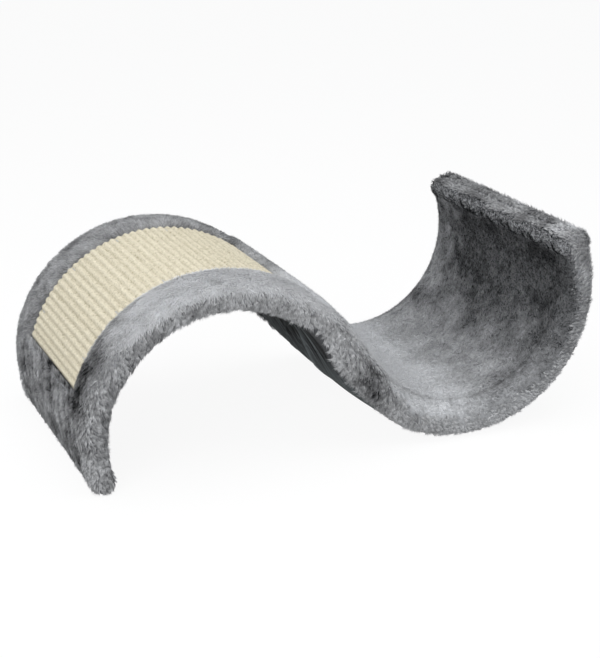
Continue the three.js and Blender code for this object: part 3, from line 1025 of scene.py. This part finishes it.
for node, side in (("near_edge_band", -1), ("far_edge_band", 1)):
    s = rows_between(foot_band_height + seam_gap / 2, rim_start - seam_gap / 2)[:, None]
    angle = np.linspace(math.pi / 2, -math.pi / 2, band_points)[None, :]
    combed_to = np.interp(s, combed_places, combed_angles)
    if side > 0:
        combed_to = np.minimum(combed_to, combed_far)
    combed = smooth_between(angle - combed_to, -comb_line, comb_line)
    tucked = smooth_between(np.interp(s, tucked_places, tucked_angles) - angle, 0, 0.1)
    rise = fluffy_rise + (smooth_rise - fluffy_rise) * combed
    reach = band_inner + (edge_band_width - rise) * power(np.cos(angle), 2 / edge_roundness)
    height = np.where(angle > 0, edge_above(s), edge_below(s)) - rise
    level = height * power(np.sin(angle), 2 / edge_roundness)
    skin = on_wave(s, level, side * reach)
    slot_side = half_width - plush_height
    inner_y = np.array([[band_inner, slot_side, slot_side, band_inner]])
    inner_n = np.array([[-cover_base, -cover_base, cover_base, cover_base]])
    inner = on_wave(s, inner_n, side * inner_y)
    # the brushed pile takes the borders' and the cradle's painted light and shade
    wall = np.maximum(cradle_tone(s, side * reach), wall_darkest)
    slope = border_tone(s, side * reach)
    brushed = slope + (wall - slope) * smooth_between(s, cradle_at - blend, cradle_at + blend)
    # painted light and shade: paler to the crown and cradle floor, darker up the wall and below the
    # brushed pile
    fluff = 0.66 + 0.12 * smooth_between(s, 0.12, 0.22) + 0.16 * smooth_between(s, 0.42, 0.5)
    fluff = fluff - 0.3 * smooth_between(s, 0.55, 0.66)
    fluff = fluff - 0.1 * np.exp(-((angle - combed_to) / 0.2) ** 2)
    fluff = fluff + 0.1 * patches(s, angle / 40, 0.014, 7)
    fluff = fluff + blots(s, angle, painted_crease_shade) + 0.6 * blots(s, side * reach, dark_corner)
    # the backing, with painted shade under the tufts and where the lining is tucked
    tone = (combed * brushed + (1 - combed) * fluff * tuft_gap_shade) * (1 - tuck_shade * tucked)
    cloth = closed_cloth(node, np.concatenate([skin, inner], axis=1), backing, tone)
    in_cradle = smooth_between(s, cradle_at, cradle_at + blend)
    tufted = (1 - combed) * (1 - tucked)
    stroked = combed * (1 - in_cradle)
    worn = combed * in_cradle
    lush = 1 - 0.3 * smooth_between(s, 0.46, 0.54)
    nap = (downhill(s), 1.0)
    worn_nap = (cradle_nap[0], side * cradle_nap[1])
    flip = side > 0
    pile = grow_pile(node, skin, "fluffy", nap, fluff, 2, flip=flip, thick=tufted, lush=lush)
    pile += grow_pile(node, skin, "smooth", nap, brushed, first=3, flip=flip, thick=stroked)
    pile += grow_pile(node, skin, "short", worn_nap, brushed, first=4, flip=flip, thick=worn)
    wrap = float(np.hypot(np.diff(reach), np.diff(level)).sum(axis=1).mean())
    size = (wrap, rim_start - foot_band_height)

# Foot band
# A plush cap over the foot end of the board, lightly filled. It is brushed smooth on the outside of
# the leg, swells to the inside, and its round fluffy end stands on the floor.
foot_bulge = 0.0008
foot_press = 0.0025
foot_corner = 0.010
foot_side = 0.018
foot_rounding = 0.014
foot_rise = 0.0028
foot_fluff = 0.8
cap_rows = 20
cap_columns = 90
cap_bend = 10  # columns round each corner
lump_lengths = (0.047, 0.0213)  # two waves across the width that make a cap uneven


def end_cap(node, start, board_end, out, wrap, corner, side, rounding, swells, bulge_at, rise, lumps):
    """A cap over an end of the board: rows run from its seam to its end, columns go round it.

    Its level runs from 1 on the outside of the leg or the inside of the cradle to -1 on the other.
    """
    half = half_width - rise
    side_start = half - side
    flat = np.linspace(-side_start, side_start, cap_columns)
    bend = side_start + side * np.sin(np.linspace(0, math.pi / 2, cap_bend))[1:]
    y = np.concatenate([-bend[::-1], flat, bend])
    fall = 1 - np.clip((np.abs(y) - side_start) / side, 0, 1) ** edge_roundness
    in_corner = np.clip(np.abs(y) - (half - corner), 0, corner)
    corner_cut = corner - np.sqrt(corner ** 2 - in_corner ** 2)
    uneven, finer = (2 * math.pi * y / wave for wave in lump_lengths)
    uneven = np.sin(uneven + 1.0) + 0.7 * np.sin(finer + 2.2)
    length = np.abs(board_end + out * (wrap - rise - corner_cut) - start)
    share = np.sin(np.linspace(0, math.pi / 2, cap_rows))[:, None]
    along = length[None, :] * share
    rounded = 1 - np.clip((along - (length - rounding)) / rounding, 0, 1) ** edge_roundness
    rounded = (rounded * fall) ** (1 / edge_roundness)
    bulge = np.sin(math.pi * share ** (math.log(0.5) / math.log(bulge_at)))
    s = start + out * along
    top = edge_above(start) - rise + (swells[0] + lumps * uneven) * bulge
    under = edge_below(start) - rise + swells[1] * bulge
    above = on_wave(s, rounded * top, y[None, :])
    below = on_wave(s, -rounded * under, y[None, :])
    skin = np.concatenate([above, below[:, -2:0:-1]], axis=1)
    pocket_y = np.clip(y, -(half_width - plush_height), half_width - plush_height)
    pocket_s = np.array([board_end + out * seam_gap, start])[:, None]
    upper = on_wave(pocket_s, cover_base, pocket_y[None, :])
    lower = on_wave(pocket_s, -cover_base, pocket_y[None, :])
    pocket = np.concatenate([upper, lower[:, -2:0:-1]], axis=1)
    rings = np.concatenate([pocket, skin])
    cloth = closed_cloth(node, rings, backing, caps=False)
    round_y = np.concatenate([y, y[-2:0:-1]])[None, :]
    level = np.concatenate([rounded, -rounded[:, -2:0:-1]], axis=1)
    return skin, share, round_y, level


foot_wrap = foot_end_height + foot_press
foot_shape = {"wrap": foot_wrap, "corner": foot_corner, "side": foot_side, "rounding": foot_rounding}
foot_puff = {"swells": (0.0, foot_bulge), "bulge_at": 0.8, "rise": foot_rise, "lumps": 0.0}
skin, share, y, level = end_cap("foot_band", foot_band_height, 0.0, -1, **foot_shape, **foot_puff)
outside = (level > 0) * smooth_between(-np.abs(y), -0.126, -0.116)
brushed = outside * (1 - smooth_between(share, 0.75, 0.9))
stroked = 0.46 + 0.18 * patches(share / 50, y + 0.01 * share, 0.009, 11)
stroked = stroked + 0.12 * patches(share / 50, y, 0.02, 12)
foot_nap = (1.0, 0.2)
grow_pile("foot_band", skin, "fluffy", foot_nap, foot_fluff, closed=True, thick=1 - brushed)
grow_pile("foot_band", skin, "ruffled", foot_nap, stroked, first=2, closed=True, thick=brushed)

# Rim band
# A padded plush cap along the tip of the cradle, a little lumpy. Its end face and its outside are
# fluffy, and on the inside its pile is as short as the wall's and painted darker still, as the
# shadow under the rim.
rim_bulge = 0.0012
rim_wrap = 0.0133
rim_corner = 0.005
rim_side = 0.008
rim_rounding = 0.007
rim_rise = 0.0025
rim_lumps = 0.0012
# painted shadow under the rim's pale strip:
rim_shade = 0.15  # darker than the wall below it
rim_shape = {"wrap": rim_wrap, "corner": rim_corner, "side": rim_side, "rounding": rim_rounding}
rim_puff = {"swells": (rim_bulge, 0.0), "bulge_at": 0.5, "rise": rim_rise, "lumps": rim_lumps}
skin, share, y, level = end_cap("rim_band", rim_start, wave_length, 1, **rim_shape, **rim_puff)
turnover = 0.58 + 0.2 * patches(0.0, y, 0.014, 8)  # the level at which the pile turns short
combed = smooth_between(level, turnover - 0.03, turnover + 0.03)
patchy = 0.44 + 0.08 * smooth_between(-y, 0.07, 0.12) + 0.25 * patches(share / 50, y, 0.018, 9)
# painted shadow: the rim's inside is darker than the wall
wall = cradle_tone(wave_length, y) - rim_shade + 0 * share
hanging = (np.clip((-0.3 - level) / 0.5, -1.0, 1.0), 0.3)  # to both sides of the end face
grow_pile("rim_band", skin, "soft", hanging, patchy, closed=True, flip=True, thick=1 - combed)
grow_pile("rim_band", skin, "short", cradle_nap, wall, first=2, closed=True, flip=True, thick=combed)
for tufts in (smooth_tufts, short_tufts, soft_tufts, fluffy_tufts):
    drop_shapes(tufts)

# Linings
# Flat brushed cloth glued under the arch and under the cradle, darker than the plush, partly in its
# own colour and partly as painted shade. It is pulled along the wave, which leaves streaks, and hangs
# loose in slanting folds under the slope. Its folds carry painted highlights, and it is painted paler
# as light under the cradle.
lining_inset = 0.0032
lining_sag = 0.006  # it hangs loose where the slope runs into the cradle
lining_columns = 200
crease_at = (0.328, -0.05)  # one long crease, from these s and y
crease_slant = 0.65
crease_depth = 0.0016
crease_width = 0.0035
waviness = 0.0005
lining_folds = [  # s and y where each fold begins, its slant, width and height
    (0.338, -0.024, 1.0, 0.0014, 0.0012),
    (0.344, -0.062, 0.5, 0.0045, 0.0018),
    (0.300, 0.060, 0.7, 0.0016, 0.0010),
]
# painted highlight on the folds:
ridge_tone = 300  # paler by this for each metre of a fold's height
lining_dark = srgb(10, 12, 13)
lining_pale = srgb(140, 147, 149)
sag_at = cradle_at + 0.25 * (cradle_bottom - cradle_at)
stand_at = cradle_bottom - 0.01


def lining_colour(place):
    """Streaks along the wave, calmer where painted highlights on the folds and painted light under the
    cradle make it paler.
    """
    streaks = place.grain(80, 3, (0.2, 2.2, 0.2))
    # painted highlights: thin pale lines where the cloth folds
    folds = ((place.grain(110, 1, (0.12, 1.6, 0.12)) - 0.54) * 8).clamped()
    knit = place.grain(1400, 2)
    ridges = place.kept("tone")
    calm = (1 - ridges * 2.4).clamped()
    tone = ((streaks * 2.0 - 1.02) * calm + knit * 0.25 + folds * 0.3 * calm + ridges).clamped()
    return tone.mix(lining_dark, lining_pale)


lining_cloth = finish_of(
    "brushed lining",
    lining_colour,
    0.95,
    bump_of=lambda place: place.grain(1100, 3) + 0.6 * place.grain(90, 2, (0.3, 2.0, 0.3)),
    bump_height=0.0006,
    Specular_IOR_Level=0.1,
    Sheen_Weight=0.02,
)


def fold_heights(s, y):
    total = 0
    for at, across, slant, width, height in lining_folds:
        ridge = np.exp(-((y - across - slant * (s - at)) / width) ** 2)
        ends = smooth_between(s, at - 0.01, at + 0.01) * (1 - smooth_between(s, at + 0.06, at + 0.1))
        total = total + height * ridge * ends
    return total


def lining_base(s):
    return np.minimum(edge_below(s), cover_top) - cover_base - lining_inset


def arch_lining_height(s, y):
    middle = crease_at[1] + (s - crease_at[0]) * crease_slant
    crease = np.exp(-((y - middle) / crease_width) ** 2) * smooth_between(s, 0.315, 0.345)
    waves = waviness * np.sin(90 * y + 25 * s) * np.sin(14 * s)
    sagging = smooth_between(s, slope_at, sag_at) * (1 - smooth_between(s, sag_at, stand_at))
    loose = lining_sag * sagging * (1 - (y / panel_edge) ** 4) * (1 - 0.5 * y / panel_edge)
    return lining_base(s) + swell(y) + loose - crease_depth * crease + waves + fold_heights(s, y)


def cradle_lining_height(s, y):
    standing = smooth_between(s, slope_middle, stand_at)
    return arch_lining_height(s, y) * (1 - standing) + plush_height * standing


linings = (
    ("arch_lining", foot_band_height, slope_middle, arch_lining_height),
    ("cradle_lining", slope_middle, rim_start, cradle_lining_height),
)
for node, start, end, height in linings:
    rings, skin, s, y = panel(start, end, -panel_edge, panel_edge, height, -1, lining_columns)
    # painted highlight on the folds, and painted light where the cloth turns up under the cradle
    tone = ridge_tone * fold_heights(s, y) + 0.25 * smooth_between(s, 0.35, 0.4)
    cloth = closed_cloth(node, rings, lining_cloth, tone)
    size = (2 * panel_edge, end - start)

# Floor, light and camera
# A pale floor that fades to white, a wide soft light overhead and one from the front left, and the
# camera at the photograph's viewing angle.
floor_size = 8.0
floor_white = 0.92  # the share of white, so that a faint shadow stays
floor = mesh_of(
    "floor",
    [(x * floor_size, y * floor_size, 0.0) for x, y in ((-1, -1), (1, -1), (1, 1), (-1, 1))],
    [(0, 1, 2, 3)],
)


def white_to_camera(tree, shader, kind, share):
    """Mixes a white shader into what the camera and reflections see of a tree's own shader."""
    start = Field(tree)
    rays = [
        start.node("ShaderNodeLightPath", None, None, name)
        for name in ("Is Camera Ray", "Is Glossy Ray", "Is Transmission Ray")
    ]
    seen = (rays[0] + rays[1] + rays[2]).clamped() * share
    white = start.node(kind, None, {"Color": (1, 1, 1, 1), "Strength": 1.0})
    inputs = {0: seen, 1: Field(tree, shader.outputs[0]), 2: white}
    return start.node("ShaderNodeMixShader", None, inputs).socket


floor_finish = bpy.data.materials.new("pale floor")
floor_finish.use_nodes = True
tree = floor_finish.node_tree
shader = tree.nodes["Principled BSDF"]
seen = Field(tree).node("ShaderNodeLightPath", None, None, "Is Camera Ray")
pale = seen.mix((0.55, 0.55, 0.55, 1), (0.95, 0.95, 0.95, 1))
tree.links.new(pale.socket, shader.inputs["Base Color"])
shader.inputs["Roughness"].default_value = 0.9
shader.inputs["Specular IOR Level"].default_value = 0.0
mixed = white_to_camera(tree, shader, "ShaderNodeEmission", floor_white)
tree.links.new(mixed, tree.nodes["Material Output"].inputs["Surface"])
floor.data.materials.append(floor_finish)

world = bpy.data.worlds.new("studio")
world.use_nodes = True
bpy.context.scene.world = world
tree = world.node_tree
shader = tree.nodes["Background"]
shader.inputs["Color"].default_value = (0.95, 0.97, 1.0, 1)
shader.inputs["Strength"].default_value = 0.5
mixed = white_to_camera(tree, shader, "ShaderNodeBackground", 1.0)
tree.links.new(mixed, tree.nodes["World Output"].inputs["Surface"])


def soft_light(name, place, aim, size, watts):
    lamp = bpy.data.lights.new(name, "AREA")
    lamp.shape = "RECTANGLE"
    lamp.size, lamp.size_y = size
    lamp.energy = watts
    made = in_scene(name, lamp)
    made.location = place
    made.rotation_euler = (Vector(aim) - Vector(place)).to_track_quat("-Z", "Y").to_euler()


soft_light("overhead", (0.0, -0.2, 1.5), (0.0, 0.0, 0.1), (1.6, 1.6), 16)
soft_light("front", (-1.6, -1.9, 1.0), (0.0, 0.0, 0.1), (1.6, 1.4), 36)

azimuth = math.radians(-20.70)
elevation = math.radians(17.59)
roll = math.radians(-1.26)
distance = 1.662
target = Vector((0.01085, 0.0185, 0.0725))
image_size = (600, 658)
focal_pixels = 1688
sensor = 36.0
turn = Matrix.Rotation(azimuth, 3, "Z") @ Matrix.Rotation(math.pi / 2 - elevation, 3, "X")
turn = turn @ Matrix.Rotation(roll, 3, "Z")
camera = in_scene("camera", bpy.data.cameras.new("camera"))
camera.data.lens = focal_pixels * sensor / max(image_size)
camera.data.sensor_width = sensor
camera.data.sensor_fit = "AUTO"
camera.matrix_world = Matrix.Translation(target + distance * turn.col[2]) @ turn.to_4x4()
bpy.context.scene.camera = camera
bpy.context.scene.view_settings.view_transform = "Standard"
